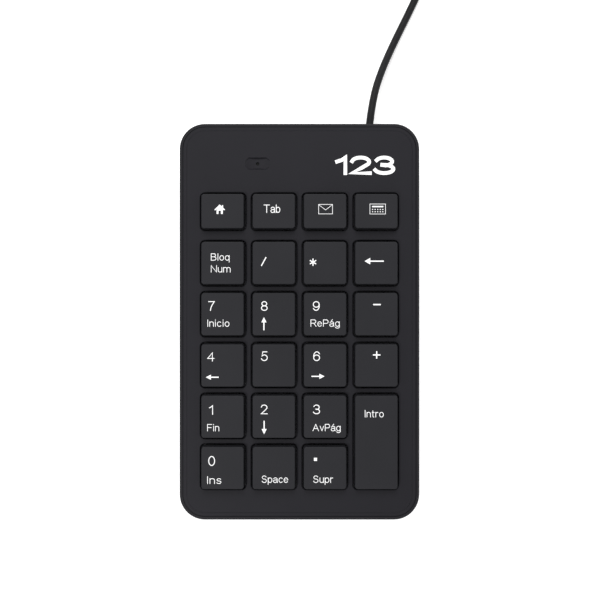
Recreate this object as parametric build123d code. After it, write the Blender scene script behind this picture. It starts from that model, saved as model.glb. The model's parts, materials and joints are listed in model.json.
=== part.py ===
"""USB numeric keypad: a wedge-shaped housing with 23 membrane keys and its cable.

Millimetres, +Z up, +Y to the rear (where the cable leaves), +X to the right.
The origin is on the table under the middle of the housing.
The key deck rises to the rear by WEDGE degrees. Whatever belongs to the deck is drawn in the
deck's own frame, where z = 0 is the deck's surface, and is then set in place by DECK.
"""
import os
from math import atan, degrees, pi, radians, tan

from build123d import *

# ---- driving dimensions ----
WIDTH, DEPTH, CORNER_R = 90.0, 148.6, 9.5       # housing outline at its rim
WEDGE = 3.2                                     # slope of the deck, degrees
DECK_HEIGHT = 17.2                              # deck above the table, at the middle
FOOT_HEIGHT = 1.0
RIM_DROP, RIM_EDGE_R = 0.45, 0.3                # rim of the lower shell below the deck
LIP, GROOVE = 1.15, 0.2                         # rim width, and the gap from rim to lid
WALL, FLOOR, DRAFT, BASE_EDGE_R = 2.0, 1.8, 5.0, 2.0
LID_THICK, LEDGE_DROP = 2.0, 2.5                # the lid's edge rests on a ledge in the lower shell
BORDER, BORDER_DROP, BORDER_EDGE_R = 1.3, 0.25, 0.15    # low border round the raised deck
LID_ROOM_IN = 2.6                               # from the lid's edge to the hollow under it
SKIRT_THICK, SKIRT_END = 1.1, -5.0
RIB, BASE = 1.2, -25.0                          # ribs and towers start below the floor
DECK_RIBS_X, DECK_RIB_DEPTH, DECK_RIB_Y = (-30.0, -9.5, 9.5, 30.0), 108.0, -6.0
BOARD_RIBS_X, BOARD_RIB_DEPTH = (-20.0, 5.0), 14.0

PITCH = 19.05                                   # key spacing
COLUMNS = [(i - 1.5) * PITCH for i in range(4)]
BOTTOM_ROW_Y = -54.3
SHORT_ROW_Y = 41.2
KEY_FACE, SHORT_KEY_FACE = 15.68, 12.7          # a keycap's top, and the depth of a short one
KEY_TOP, KEY_FOOT, CAP_ROOF = 2.8, -0.5, 1.6    # cap top, skirt end, and underside of the top
KEY_FLARE = 0.31                                # how much a skirt spreads on each side
KEY_CORNER_R, KEY_EDGE_R, CAP_WALL, CAP_ROOM_R = 1.0, 0.25, 1.1, 0.4
KEY_GAP, WINDOW_BEVEL = 0.42, 0.25
TRAVEL = 2.2
STEM, STEM_FIT, STEM_CORNER_R, STEM_END = 5.0, 0.08, 0.8, -5.0
HOOK_OUT, HOOK_HEIGHT, HOOK_WIDTH = 0.35, 0.6, 3.0

PLATE_TOP, PLATE_THICK = -3.0, 1.2              # key guide plate
SLEEVE, SLEEVE_TOP, SLEEVE_CORNER_R = 7.4, -0.9, 1.4
PRESS_PAD_R, EDGE_PAD_R, EDGE_PAD_X = 0.8, 1.5, 39.6    # pads under the lid that hold the plate
EDGE_PADS_Y = (45.0, 12.4, -25.7, -60.0)
STACK_X, STACK_REAR, STACK_FRONT = 40.5, 51.0, -63.4
SHEET_TOP, SHEET_THICK, FILM, STEEL = -7.5, 0.4, 0.1, 0.5
SHEET_CORNER_R, FILM_INSET, CONTACT_R = 2.0, 0.5, 2.5
DOME_R, DOME_TOP_R, DOME_TOP, DOME_WALL = 4.5, 2.6, -5.05, 0.5
STAKE_R, STAKE_HOLE_R, STAKE_HEAD_R, STAKE_HEAD = 1.0, 1.2, 1.7, 0.6

WIRE_R, WIRE_LEG, WIRE_SPAN, WIRE_TIP = 0.6, 8.0, 25.0, 3.0      # Enter key's stabilizer
WIRE_PIVOT_X, WIRE_PIVOT_Z, WIRE_ARM_Z = -2.3, -1.9, 0.9
WIRE_FIT, WIRE_BEND_R = 0.08, 1.2
HOLDER, HOLDER_X, HOLDER_Y = (4.6, 2.0), 5.4, 8.0        # under the Enter key, with a slot
HOLDER_SLOT, HOLDER_SLOT_OUT = 2.1, 0.27
CLIP, CLIP_IN, CLIP_TOP = (3.2, 1.8), 2.1, -0.95                        # on the guide plate

CASE_SCREWS = [(x, y) for x in (-37.5, 37.5) for y in (-67.5, 66.5)]
BOSS_R, TOWER_R, WELL_R, SEAM_Z, SEAT_Z = 2.8, 3.7, 2.6, -7.0, -9.0
SCREW_R, SCREW_TIP, SCREW_HEAD_R, SCREW_HEAD = 1.08, -3.2, 2.2, 1.5
PILOT_R, PILOT_END, SCREW_HOLE_R = 1.1, -2.8, 1.35
CROSS = (2.4, 0.5)                              # arms of a screw's cross recess
FEET = [(x, y) for x in (-35.0, 35.0) for y in (-55.0, 55.0)]
FOOT_R, FOOT_SUNK, FOOT_BEVEL, FOOT_FIT = 5.0, 0.6, 0.3, 0.1
LABEL, LABEL_Y, LABEL_CORNER_R, LABEL_FIT = (42.0, 22.0, 0.15), 10.0, 1.0, 0.2

LED_X, LED_Y = -15.7, 59.25
DIMPLE, DIMPLE_CUT = (9.4, 4.6, 0.7), (1.4, 1.3)     # length, width, depth, and its cut corners
DIMPLE_SLOPE = 40.0
LED_HOLE_R, PIPE_FIT, PIPE_TOP, PIPE_FOOT = 0.65, 0.05, -1.25, (1.5, -3.9)
LED_R, LED_FLANGE_R, LED_FLANGE, LED_ROD = 1.5, 1.75, 0.4, 2.6
BOARD = (54.0, 15.0, 1.6)
BOARD_X, BOARD_Y, BOARD_POST_R, BOARD_PILOT_R = -5.0, 61.0, 2.6, 0.9
CHIP, CHIP_X, CHIP_Y, CHIP_PITCH = (10.0, 4.0, 1.8), -2.0, 64.5, 1.27
LEG, LEG_SPAN, LEG_THICK, CHIP_GAP = 0.4, 6.0, 0.25, 0.2
CLAMP_X, CLAMP_Y, CLAMP, CLAMP_TOP, CLAMP_SCREW_X = 4.0, 57.0, (32.0, 5.0), 2.6, 13.5
TAIL = (20.0, 12.0)                             # the film's tail, under the clamp bar
SMALL_SCREW_R, SMALL_HEAD_R, SMALL_HEAD, SMALL_HOLE_R = 0.86, 1.9, 1.2, 1.2
PLUG_IN_X, PLUG_IN_Y, WIRE_PITCH = 12.5, 64.0, 1.6   # the cable's connector on the board
PLUG_IN, PLUG_ROOM, PLUG_ROOM_LOW = (5.0, 8.0, 3.4), (3.4, 6.6), 2.4
CORE_R, CORE_PACKED = 0.28, 0.62                # an inner wire, and their spacing in the jacket

CORD_D = 2.9
OUTLET_X, OUTLET_DOWN = 26.9, 12.2              # cable outlet, below the deck at the rear wall
CORD_HEADING = 6.5                              # degrees right of straight back
NOSE, STRAIGHT_OUT = 2.4, 11.0                  # grommet out of the rear wall, then straight cord
FLANGE_R, FLANGE_OUT, NECK_R, NOSE_RADII, JACKET_IN = 4.2, 1.3, 2.9, (3.0, 2.1), 6.0
CORD_ROUTE = [                                  # hand-placed points, after the straight way out
    (32.5, 100.0, 4.6),
    (38.2, 113.0, 1.7),
    (45.2, 127.0, 1.9),
    (50.9, 140.0, 1.9),
    (54.1, 151.5, 2.0),
    (53.6, 159.0, 2.2),
]
CORD_END_ROUTE = [                              # from the coil's top turn down to the plug
    (39.0, 177.8, 10.4),
    (28.0, 178.4, 10.2),
    (16.5, 177.0, 6.2),
    (6.5, 174.6, 3.95),
    (0.0, 173.6, 3.95),
]
COIL_X, COIL_Y, COIL_R = 35.0, 159.0, 16.0      # middle of the coil, and of its turns
COIL_COLUMNS, COIL_ROWS, COIL_EDGE_R = 3, 4, 1.2
TIE_THICK, TIE_WIDTH, TIE_ANGLE, TIE_TWIST = 0.4, 3.0, 205.0, (12.0, 1.4, 2.4)
PLUG_BODY, PLUG_BOOT, PLUG_BOOT_R = (19.0, 15.6, 7.8), 7.0, (CORD_D / 2 + 0.25, 2.9)
PLUG_CORNER_R, PLUG_REAR_R, PLUG_FRONT_R = 2.0, 1.2, 0.6
GRIP_RIBS, GRIP_PITCH, GRIP_START, GRIP_CUT = 5, 2.4, 4.5, (0.6, 4.4, 1.1)
USB_SHELL, USB_WALL = (12.0, 12.0, 4.5), 0.3    # length out of the plug, width, height
USB_HOLE, USB_HOLE_X, USB_HOLE_AT = (2.4, 2.2), 2.25, 5.5
TONGUE, TONGUE_DOWN, TONGUE_SHORT, TONGUE_FIT = 1.8, 0.98, 0.5, 0.35
CONTACTS, CONTACT_WIDTH, CONTACT_THICK, CONTACT_PITCH = (9.0, 8.0, 8.0, 9.0), 1.1, 0.2, 2.4

DECK = Location((0, 0, DECK_HEIGHT), (WEDGE, 0, 0))
SHEET_END = SHEET_TOP - SHEET_THICK
STEEL_TOP = SHEET_END - 3 * FILM
STEEL_END = STEEL_TOP - STEEL
BOARD_TOP = STEEL_TOP                           # the film's tail runs level onto the board
KEY_ROWS = [BOTTOM_ROW_Y + i * PITCH for i in range(5)]
ENTER_Y = BOTTOM_ROW_Y + PITCH / 2
ROW_NAMES = [
    ["key_home", "key_tab", "key_mail", "key_calculator"],
    ["key_num_lock", "key_divide", "key_multiply", "key_backspace"],
    ["key_7", "key_8", "key_9", "key_minus"],
    ["key_4", "key_5", "key_6", "key_plus"],
    ["key_1", "key_2", "key_3", "key_enter"],
    ["key_0", "key_space", "key_decimal"],
]


# ---- shared helpers ----
def keys():
    """Name, place and face size of every key."""
    rows = [SHORT_ROW_Y] + KEY_ROWS[::-1]
    for y, names in zip(rows, ROW_NAMES):
        depth = SHORT_KEY_FACE if y == SHORT_ROW_Y else KEY_FACE
        for x, name in zip(COLUMNS, names):
            if name == "key_enter":
                yield name, x, ENTER_Y, KEY_FACE, KEY_FACE + PITCH
            else:
                yield name, x, y, KEY_FACE, depth


def block(width, depth, low, high, radius=0.0, x=0.0, y=0.0):
    """Upright block from low to high, with rounded corners where a radius is given."""
    outline = RectangleRounded(width, depth, radius) if radius else Rectangle(width, depth)
    return Pos(x, y, low) * extrude(outline, amount=high - low)


def post(radius, low, high, x=0.0, y=0.0):
    return Pos(x, y, (low + high) / 2) * Cylinder(radius, high - low)


def shell_block(inset):
    """The lower shell's outline less an inset, narrowing downwards from the rim."""
    down = Plane(origin=(0, 0, -RIM_DROP), z_dir=(0, 0, -1))
    outline = RectangleRounded(WIDTH - 2 * inset, DEPTH - 2 * inset, CORNER_R - inset)
    return DECK * extrude(down * outline, amount=26, taper=DRAFT)


def above(shape, height):
    """What lies above a level plane at this height over the table."""
    return shape - Pos(0, 0, height - 50) * Box(400, 400, 100)


def tube(points, radii, radius):
    path = FilletPolyline(*points, radius=radii)
    section = Plane(origin=path @ 0, z_dir=path % 0) * Circle(radius)
    return sweep(section, path=path), path.length


def corner_radii(points):
    """For each corner of a route, 0.45 of its shorter run over the tangent of half the turn."""
    radii = []
    for a, b, c in zip(points, points[1:], points[2:]):
        run_in, run_out = Vector(*b) - Vector(*a), Vector(*c) - Vector(*b)
        shorter = min(run_in.length, run_out.length)
        radii.append(0.45 * shorter / tan(radians(run_in.get_angle(run_out)) / 2))
    return radii


# ---- housing ----
def top_cover():
    edge_w, edge_d = WIDTH - 2 * (LIP + GROOVE), DEPTH - 2 * (LIP + GROOVE)
    edge_r = CORNER_R - LIP - GROOVE
    lid = block(edge_w, edge_d, -LEDGE_DROP, -BORDER_DROP, edge_r)
    lid = fillet(lid.faces().sort_by(Axis.Z)[-1].edges(), BORDER_EDGE_R)
    deck_w, deck_d, deck_r = edge_w - 2 * BORDER, edge_d - 2 * BORDER, edge_r - BORDER
    foot = Pos(0, 0, -BORDER_DROP) * RectangleRounded(deck_w, deck_d, deck_r)
    lid += extrude(foot, amount=BORDER_DROP, taper=45)
    room_w, room_d, room_r = edge_w - 2 * LID_ROOM_IN, edge_d - 2 * LID_ROOM_IN, edge_r - LID_ROOM_IN
    room = block(room_w, room_d, SKIRT_END, -LID_THICK, room_r)
    skirt_w, skirt_d = room_w + 2 * SKIRT_THICK, room_d + 2 * SKIRT_THICK
    lid += block(skirt_w, skirt_d, SKIRT_END, -LEDGE_DROP, room_r + SKIRT_THICK)
    lid -= room
    for _, x, y, width, depth in keys():
        grow = 2 * (KEY_FLARE + KEY_GAP)
        w, d, r = width + grow, depth + grow, KEY_CORNER_R + KEY_FLARE + KEY_GAP
        lid -= block(w, d, -LID_THICK, 0, r, x, y)
        mouth = Pos(x, y, -WINDOW_BEVEL) * RectangleRounded(w, d, r)
        lid -= extrude(mouth, amount=WINDOW_BEVEL, taper=-45)
    for x, y in CASE_SCREWS:
        lid += post(BOSS_R, SEAM_Z, -LID_THICK, x, y)
        lid -= post(PILOT_R, SEAM_Z, PILOT_END, x, y)
    for x, y in pad_places():
        lid += post(PRESS_PAD_R, PLATE_TOP, -LID_THICK, x, y)
    for x in (-EDGE_PAD_X, EDGE_PAD_X):
        for y in EDGE_PADS_Y:
            lid += post(EDGE_PAD_R, PLATE_TOP, -LID_THICK, x, y)
    lid -= led_dimple()
    lid -= post(LED_HOLE_R, -LID_THICK, 0, LED_X, LED_Y)
    return DECK * lid


def led_dimple():
    """Hollow round the lamp's hole: curved along its length, with sloping front and rear sides."""
    length, width, deep = DIMPLE
    cut_x, cut_y = length / 2 - DIMPLE_CUT[0], width / 2 - DIMPLE_CUT[1]
    corner = [(length / 2, -cut_y), (length / 2, cut_y), (cut_x, width / 2), (-cut_x, width / 2)]
    outline = make_face(Polyline(*corner, *[(-x, -y) for x, y in corner], close=True))
    sides = extrude(outline, amount=-deep, taper=DIMPLE_SLOPE)
    bow_r = (length**2 / 4 + deep**2) / (2 * deep)
    bow = Pos(0, 0, bow_r - deep) * Rot(90, 0, 0) * Cylinder(bow_r, 2 * width)
    return Pos(LED_X, LED_Y, 0) * (sides & bow)


def pad_places():
    """Where four key windows meet: the lid presses on the guide plate between the keys."""
    rows = (KEY_ROWS[3] + PITCH / 2, KEY_ROWS[1] + PITCH / 2)
    return [(x, y) for x in (-PITCH, 0, PITCH) for y in rows]


def stake_places():
    """The guide plate's stakes, which hold the sheets and the steel plate under it."""
    rows = (32.3, KEY_ROWS[2] + PITCH / 2, KEY_ROWS[0] + PITCH / 2)
    return [(x, y) for x in (-PITCH, 0, PITCH) for y in rows]


def bottom_cover():
    outer = above(shell_block(0), FOOT_HEIGHT)
    outer = fillet(outer.faces().sort_by(Axis.Z)[0].edges(), BASE_EDGE_R)
    outer = fillet(outer.faces().sort_by(Axis.Z)[-1].edges(), RIM_EDGE_R)
    tub = outer - above(shell_block(WALL), FOOT_HEIGHT + FLOOR)
    recess_w, recess_d = WIDTH - 2 * LIP, DEPTH - 2 * LIP
    tub -= DECK * block(recess_w, recess_d, -LEDGE_DROP, 0, CORNER_R - LIP)

    board_end = BOARD_TOP - BOARD[2]
    added = [block(RIB, DECK_RIB_DEPTH, BASE, STEEL_END, x=x, y=DECK_RIB_Y) for x in DECK_RIBS_X]
    added += [block(RIB, BOARD_RIB_DEPTH, BASE, board_end, x=x, y=BOARD_Y) for x in BOARD_RIBS_X]
    added += [post(TOWER_R, BASE, SEAM_Z, x, y) for x, y in CASE_SCREWS]
    added += [post(BOARD_POST_R, BASE, board_end, x, y) for x, y in board_screw_places()]
    for piece in added:
        tub += (DECK * piece) & outer
    for x, y in CASE_SCREWS:
        tub -= DECK * post(WELL_R, BASE, SEAT_Z, x, y)
        tub -= DECK * post(SCREW_HOLE_R, SEAT_Z, SEAM_Z, x, y)
    for x, y in board_screw_places():
        tub -= DECK * post(BOARD_PILOT_R, board_end - 5, board_end, x, y)
    for x, y in FEET:
        tub -= post(FOOT_R + FOOT_FIT, FOOT_HEIGHT, FOOT_HEIGHT + FOOT_SUNK, x, y)
    label_w, label_d = LABEL[0] + 2 * LABEL_FIT, LABEL[1] + 2 * LABEL_FIT
    label_r = LABEL_CORNER_R + LABEL_FIT
    tub -= block(label_w, label_d, FOOT_HEIGHT, FOOT_HEIGHT + LABEL[2], label_r, y=LABEL_Y)
    tub -= OUTLET * post(NECK_R + 0.1, -8, 4)
    return tub


def case_screws():
    """Pan-head tapping screws from below, with a cross recess."""
    screws = []
    for x, y in CASE_SCREWS:
        screw = post(SCREW_R, SEAT_Z, SCREW_TIP) + post(SCREW_HEAD_R, SEAT_Z - SCREW_HEAD, SEAT_Z)
        screw = chamfer(screw.faces().sort_by(Axis.Z)[0].edges(), 0.4)
        for turn in (0, 90):
            screw -= Rot(0, 0, turn) * block(*CROSS, SEAT_Z - SCREW_HEAD, SEAT_Z - SCREW_HEAD / 2)
        screws.append(DECK * (Pos(x, y, 0) * screw))
    return screws


def rubber_feet():
    feet = []
    for x, y in FEET:
        foot = post(FOOT_R, 0, FOOT_HEIGHT + FOOT_SUNK, x, y)
        feet.append(chamfer(foot.faces().sort_by(Axis.Z)[0].edges(), FOOT_BEVEL))
    return feet


def rating_label():
    width, depth, thick = LABEL
    return block(width, depth, FOOT_HEIGHT, FOOT_HEIGHT + thick, LABEL_CORNER_R, y=LABEL_Y)


# ---- key mechanism ----
def keycap(width, depth, enter=False):
    """A hollow cap with a square stem that has two catches at its end."""
    taper = degrees(atan(KEY_FLARE / (KEY_TOP - KEY_FOOT)))
    foot_w, foot_d = width + 2 * KEY_FLARE, depth + 2 * KEY_FLARE
    foot = Pos(0, 0, KEY_FOOT) * RectangleRounded(foot_w, foot_d, KEY_CORNER_R + KEY_FLARE)
    cap = extrude(foot, amount=KEY_TOP - KEY_FOOT, taper=taper)
    cap = fillet(cap.faces().sort_by(Axis.Z)[-1].edges(), KEY_EDGE_R)
    room_w, room_d = foot_w - 2 * CAP_WALL, foot_d - 2 * CAP_WALL
    room = Pos(0, 0, KEY_FOOT) * RectangleRounded(room_w, room_d, CAP_ROOM_R)
    cap -= extrude(room, amount=CAP_ROOF - KEY_FOOT, taper=taper)
    cap += block(STEM, STEM, STEM_END, CAP_ROOF, STEM_CORNER_R)
    hook_top = STEM_END + HOOK_HEIGHT
    for side in (-1, 1):
        cap += block(2 * HOOK_OUT, HOOK_WIDTH, STEM_END, hook_top, x=side * STEM / 2)
    if enter:
        arm_x = wire_points()[2][0]
        slot_low = WIRE_ARM_Z - WIRE_R - WIRE_FIT
        for side in (-1, 1):
            holder = block(*HOLDER, KEY_FOOT, CAP_ROOF, x=HOLDER_X, y=side * HOLDER_Y)
            slot_x = arm_x + HOLDER_SLOT_OUT
            slot = block(HOLDER_SLOT, HOLDER[1], slot_low, CAP_ROOF, x=slot_x, y=side * HOLDER_Y)
            cap += holder - slot
    return cap


def all_keys():
    for name, x, y, width, depth in keys():
        yield name, DECK * (Pos(x, y, 0) * keycap(width, depth, name == "key_enter"))


def key_guide_plate():
    """Plate with a square sleeve for every stem, a wall on the sheet's border, and stakes."""
    middle, depth = (STACK_REAR + STACK_FRONT) / 2, STACK_REAR - STACK_FRONT
    plate_end = PLATE_TOP - PLATE_THICK
    plate = block(2 * STACK_X, depth, SHEET_TOP, PLATE_TOP, SHEET_CORNER_R, y=middle)
    plate -= block(2 * STACK_X - 3, depth - 3, SHEET_TOP, plate_end, 1.0, y=middle)
    for name, x, y, _, _ in keys():
        plate += block(SLEEVE, SLEEVE, PLATE_TOP, SLEEVE_TOP, SLEEVE_CORNER_R, x, y)
        if name == "key_enter":
            pivot_x = x + WIRE_PIVOT_X
            for side in (-1, 1):
                hinge_y = y + side * (WIRE_SPAN / 2 - CLIP_IN)
                clip = block(*CLIP, PLATE_TOP, CLIP_TOP, x=pivot_x, y=hinge_y)
                hole = Pos(pivot_x, hinge_y, WIRE_PIVOT_Z) * Rot(90, 0, 0)
                plate += clip - hole * Cylinder(WIRE_R + WIRE_FIT, 2 * CLIP[1])
        bore = STEM + 2 * STEM_FIT
        plate -= block(bore, bore, plate_end, SLEEVE_TOP, STEM_CORNER_R + STEM_FIT, x, y)
    for x, y in stake_places():
        plate += post(STAKE_R, STEEL_END, plate_end, x, y)
        plate += post(STAKE_HEAD_R, STEEL_END - STAKE_HEAD, STEEL_END, x, y)
    return DECK * plate


def wire_points():
    """The stabilizer wire from tip to tip, in the Enter key's own frame."""
    reach = (WIRE_LEG**2 - (WIRE_ARM_Z - WIRE_PIVOT_Z) ** 2) ** 0.5
    half, pivot = WIRE_SPAN / 2, WIRE_PIVOT_X
    one_end = [
        (pivot, -half + WIRE_TIP, WIRE_PIVOT_Z),
        (pivot, -half, WIRE_PIVOT_Z),
        (pivot + reach, -half, WIRE_ARM_Z),
    ]
    return one_end + [(x, -y, z) for x, y, z in one_end[::-1]]


def enter_stabilizer_bar():
    wire, _ = tube(wire_points(), [WIRE_BEND_R] * 4, WIRE_R)
    return DECK * (Pos(COLUMNS[3], ENTER_Y, 0) * wire)


def sheet(low, high, inset=0.0):
    middle, depth = (STACK_REAR + STACK_FRONT) / 2, STACK_REAR - STACK_FRONT
    width = 2 * (STACK_X - inset)
    plain = block(width, depth - 2 * inset, low, high, SHEET_CORNER_R, y=middle)
    for x, y in stake_places():
        plain -= post(STAKE_HOLE_R, low, high, x, y)
    return plain


def dome_sheet():
    """One rubber sheet with a hollow dome under every stem."""
    rubber = sheet(SHEET_END, SHEET_TOP)
    height, hollow = DOME_TOP - SHEET_TOP, DOME_TOP - DOME_WALL - SHEET_END
    for _, x, y, _, _ in keys():
        rubber += Pos(x, y, SHEET_TOP + height / 2) * Cone(DOME_R, DOME_TOP_R, height)
        inside = Cone(DOME_R - DOME_WALL, DOME_TOP_R - DOME_WALL, hollow)
        rubber -= Pos(x, y, SHEET_END + hollow / 2) * inside
    return DECK * rubber


def upper_membrane():
    return DECK * sheet(SHEET_END - FILM, SHEET_END, FILM_INSET)


def spacer_membrane():
    """The film between the two circuit films, open under every dome."""
    film = sheet(SHEET_END - 2 * FILM, SHEET_END - FILM, FILM_INSET)
    for _, x, y, _, _ in keys():
        film -= post(CONTACT_R, SHEET_END - 2 * FILM, SHEET_END - FILM, x, y)
    return DECK * film


def lower_membrane():
    """The lower circuit film, with the tail that the clamp bar holds on the board."""
    film = sheet(STEEL_TOP, STEEL_TOP + FILM, FILM_INSET)
    film += block(*TAIL, STEEL_TOP, STEEL_TOP + FILM, x=CLAMP_X, y=STACK_REAR + 2.5)
    return DECK * film


def backing_plate():
    return DECK * sheet(STEEL_END, STEEL_TOP, FILM_INSET)


# ---- electronics ----
def board_screw_places():
    return [(x, BOARD_Y + 4.5) for x in (BOARD_X - 24, BOARD_X + 24.5)]


def clamp_screw_places():
    return [(x, CLAMP_Y) for x in (CLAMP_X - CLAMP_SCREW_X, CLAMP_X + CLAMP_SCREW_X)]


def controller_board():
    board = block(BOARD[0], BOARD[1], BOARD_TOP - BOARD[2], BOARD_TOP, 1.0, BOARD_X, BOARD_Y)
    for x, y in board_screw_places():
        board -= post(SMALL_HOLE_R, BOARD_TOP - BOARD[2], BOARD_TOP, x, y)
    for x, y in clamp_screw_places():
        board -= post(BOARD_PILOT_R, BOARD_TOP - BOARD[2], BOARD_TOP, x, y)
    return DECK * board


def controller_chip():
    """Small-outline chip with eight legs on each long side."""
    width, depth, high = CHIP
    body = block(width, depth, BOARD_TOP + CHIP_GAP, BOARD_TOP + high, x=CHIP_X, y=CHIP_Y)
    body = chamfer(body.edges(), 0.2)
    for i in range(8):
        leg_x = CHIP_X + (i - 3.5) * CHIP_PITCH
        body += block(LEG, LEG_SPAN, BOARD_TOP, BOARD_TOP + LEG_THICK, x=leg_x, y=CHIP_Y)
    return DECK * body


def membrane_clamp_bar():
    low, high = BOARD_TOP + FILM, BOARD_TOP + CLAMP_TOP
    bar = block(*CLAMP, low, high, 1.5, CLAMP_X, CLAMP_Y)
    for x, y in clamp_screw_places():
        bar -= post(SMALL_HOLE_R, low, high, x, y)
    return DECK * bar


def pan_screw(x, y, seat, length):
    top = seat + SMALL_HEAD
    screw = post(SMALL_SCREW_R, seat - length, seat) + post(SMALL_HEAD_R, seat, top)
    screw = chamfer(screw.faces().sort_by(Axis.Z)[-1].edges(), 0.3)
    for turn in (0, 90):
        screw -= Rot(0, 0, turn) * block(*CROSS, seat + SMALL_HEAD / 2, top)
    return DECK * (Pos(x, y, 0) * screw)


def clamp_screws():
    return [pan_screw(x, y, BOARD_TOP + CLAMP_TOP, 4.2) for x, y in clamp_screw_places()]


def board_screws():
    return [pan_screw(x, y, BOARD_TOP, 5.5) for x, y in board_screw_places()]


def numlock_led():
    """Round-topped lamp standing on the board under its hole."""
    lamp = post(LED_FLANGE_R, BOARD_TOP, BOARD_TOP + LED_FLANGE)
    lamp += post(LED_R, BOARD_TOP + LED_FLANGE, BOARD_TOP + LED_ROD)
    lamp += Pos(0, 0, BOARD_TOP + LED_ROD) * Sphere(LED_R)
    return DECK * (Pos(LED_X, LED_Y, 0) * lamp)


def led_light_pipe():
    """Clear rod that carries the lamp's light up into the hole of the dimple."""
    foot_r, foot_end = PIPE_FOOT
    rod = post(LED_HOLE_R - PIPE_FIT, -LID_THICK, PIPE_TOP) + post(foot_r, foot_end, -LID_THICK)
    return DECK * (Pos(LED_X, LED_Y, 0) * rod)


def cable_connector():
    """Four-way plug connector at the board's right end."""
    width, depth, high = PLUG_IN
    shell = block(width, depth, BOARD_TOP, BOARD_TOP + high, 0.4, PLUG_IN_X, PLUG_IN_Y)
    room_low = BOARD_TOP + PLUG_ROOM_LOW
    shell -= block(*PLUG_ROOM, room_low, BOARD_TOP + high, x=PLUG_IN_X, y=PLUG_IN_Y)
    return DECK * shell


# ---- cable ----
def outlet():
    """Place of the cable outlet on the rear wall's outer face, with Z pointing out."""
    rear = DEPTH / 2 - (OUTLET_DOWN - RIM_DROP) * tan(radians(DRAFT))
    at = (DECK * Location((OUTLET_X, rear, -OUTLET_DOWN))).position
    return Location(at) * Rot(0, 0, -CORD_HEADING) * Rot(-90, 0, 0)


OUTLET = outlet()


def cable_grommet():
    """Rubber grommet moulded onto the cable, with the wall between its two flanges."""
    inner_face, nose_foot = -WALL - 0.7, 0.6
    grommet = post(FLANGE_R, inner_face - FLANGE_OUT, inner_face) + post(NECK_R, inner_face, nose_foot)
    grommet += Pos(0, 0, (nose_foot + NOSE) / 2) * Cone(*NOSE_RADII, NOSE - nose_foot)
    grommet += post(CORD_D / 2, -WALL - JACKET_IN, inner_face - FLANGE_OUT)
    return OUTLET * grommet


def inner_wires():
    """Four wires from the end of the jacket, round the board's end, to the connector on it."""
    start = (OUTLET * Location((0, 0, -WALL - JACKET_IN - 0.1))).position
    end = (DECK * Location((PLUG_IN_X, PLUG_IN_Y, BOARD_TOP + 2.5))).position
    wires = []
    for i in (-1.5, -0.5, 0.5, 1.5):
        packed, spread = i * CORE_PACKED, i * WIRE_PITCH
        route = [
            (start.X + packed, start.Y, start.Z),
            (start.X - 0.4 + packed, start.Y - 3.9, start.Z + 0.5),
            (start.X - 1.8, start.Y - 4.4 + packed, start.Z + 7.4),
            (end.X + 0.6, end.Y - 0.1 + spread, end.Z + 2.9),
            (end.X, end.Y + spread, end.Z),
        ]
        wires.append(tube(route, corner_radii(route), CORE_R)[0])
    return wires


def cord_start():
    nose = (OUTLET * Location((0, 0, NOSE))).position
    return (nose.X, nose.Y, nose.Z)


def usb_cable():
    first = cord_start()
    out = (OUTLET * Location((0, 0, NOSE + STRAIGHT_OUT))).position
    points = [first, (out.X, out.Y, out.Z)] + CORD_ROUTE
    return tube_report("usb_cable", points)


def usb_cable_end():
    return tube_report("usb_cable_end", CORD_END_ROUTE)


def tube_report(name, points):
    radii = corner_radii(points)
    solid, length = tube(points, radii, CORD_D / 2)
    expected = pi * CORD_D**2 / 4 * length
    print(name, "points", [tuple(round(c, 2) for c in p) for p in points])
    print(name, "length", round(length, 1), "radii", [round(r, 1) for r in radii],
          "volume ratio", round(solid.volume / expected, 4))
    return solid


def coil_section():
    """Half width and height of the wound bundle."""
    return COIL_COLUMNS * CORD_D / 2 + 0.15, COIL_ROWS * CORD_D + 0.2


def usb_cable_coil():
    half, height = coil_section()
    section = Circle(COIL_R + half) - Circle(COIL_R - half)
    ring = Pos(COIL_X, COIL_Y, TIE_THICK + 0.05) * extrude(section, amount=height)
    return fillet(ring.edges().filter_by(GeomType.CIRCLE), COIL_EDGE_R)


def cable_tie():
    """Twist tie round the bundle, its twisted ends standing off the outside."""
    half, height = coil_section()
    room_w, room_h = 2 * half + 0.4, height + 0.1
    out_w, out_h = room_w + 2 * TIE_THICK, room_h + 2 * TIE_THICK
    section = RectangleRounded(out_w, out_h, 0.9) - RectangleRounded(room_w, room_h, 0.5)
    band = extrude(section, amount=TIE_WIDTH)
    twist_x = (out_w + TIE_TWIST[0]) / 2 - 0.1
    band += Pos(twist_x, 2.0, TIE_WIDTH / 2) * Box(*TIE_TWIST)
    upright = Location((COIL_R, TIE_WIDTH / 2, out_h / 2), (90, 0, 0))
    return Location((COIL_X, COIL_Y, 0), (0, 0, TIE_ANGLE)) * (upright * band)


def plug_place():
    """End of the cord, with Z pointing on along it into the plug."""
    a, b = Vector(*CORD_END_ROUTE[-2]), Vector(*CORD_END_ROUTE[-1])
    forward = (b - a).normalized()
    side = Vector(0, 0, 1).cross(forward).normalized()
    return Plane(origin=b, x_dir=side, z_dir=forward).location


def usb_plug_overmold():
    length, width, height = PLUG_BODY
    boot = Pos(0, 0, PLUG_BOOT / 2) * Cone(*PLUG_BOOT_R, PLUG_BOOT)
    body = Pos(0, 0, PLUG_BOOT) * extrude(RectangleRounded(width, height, PLUG_CORNER_R), amount=length)
    body = fillet(body.faces().sort_by(Axis.Z)[0].edges(), PLUG_REAR_R)
    body = fillet(body.faces().sort_by(Axis.Z)[-1].edges(), PLUG_FRONT_R)
    for side in (-1, 1):
        for i in range(GRIP_RIBS):
            cut_at = PLUG_BOOT + GRIP_START + GRIP_PITCH * i
            body -= Pos(side * width / 2, 0, cut_at) * Box(*GRIP_CUT)
    return plug_place() * (boot + body)


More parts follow.
